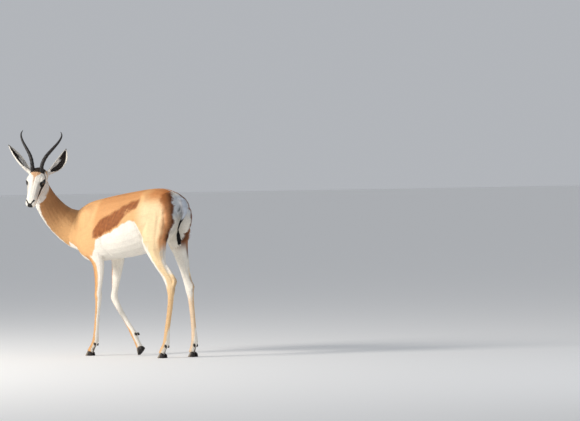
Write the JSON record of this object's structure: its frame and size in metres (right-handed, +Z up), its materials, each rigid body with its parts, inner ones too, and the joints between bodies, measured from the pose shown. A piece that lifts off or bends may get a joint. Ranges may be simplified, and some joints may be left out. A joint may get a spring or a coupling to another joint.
{
  "type": "springbok ewe",
  "caption": "Life-size standing springbok ewe in mid-stride, head turned back over its left side, with slender ringed horns, cupped ears and tufted tail.",
  "frame": {"origin": "middle of the bounding box's base, on the floor under the animal", "axes": "+X to the animal's left, -Y the way its body faces, +Z up"},
  "size_m": [0.4032, 0.9408, 1.0811],
  "materials": {
    "fawn_coat": "short matte hair, cinnamon fawn",
    "white_coat": "short matte hair, white",
    "horn": "black horn, dull sheen",
    "hoof": "black hoof, worn",
    "eye": "wet dark brown"
  },
  "bodies": {
    "root": {"torso": "fawn_coat", "neck": "fawn_coat", "head": "white_coat", "tail": "white_coat", "horn_left": "horn", "ear_left": "white_coat", "eye_left": "eye", "horn_right": "horn", "ear_right": "white_coat", "eye_right": "eye", "fore_left_upper": "fawn_coat", "fore_left_lower": "white_coat", "fore_left_claw_outer": "hoof", "fore_left_dewclaw_outer": "hoof", "fore_left_claw_inner": "hoof", "fore_left_dewclaw_inner": "hoof", "fore_right_upper": "fawn_coat", "fore_right_lower": "white_coat", "fore_right_claw_outer": "hoof", "fore_right_dewclaw_outer": "hoof", "fore_right_claw_inner": "hoof", "fore_right_dewclaw_inner": "hoof", "hind_left_upper": "fawn_coat", "hind_left_lower": "white_coat", "hind_left_claw_outer": "hoof", "hind_left_dewclaw_outer": "hoof", "hind_left_claw_inner": "hoof", "hind_left_dewclaw_inner": "hoof", "hind_right_upper": "fawn_coat", "hind_right_lower": "white_coat", "hind_right_claw_outer": "hoof", "hind_right_dewclaw_outer": "hoof", "hind_right_claw_inner": "hoof", "hind_right_dewclaw_inner": "hoof"}
  },
  "joints": []
}
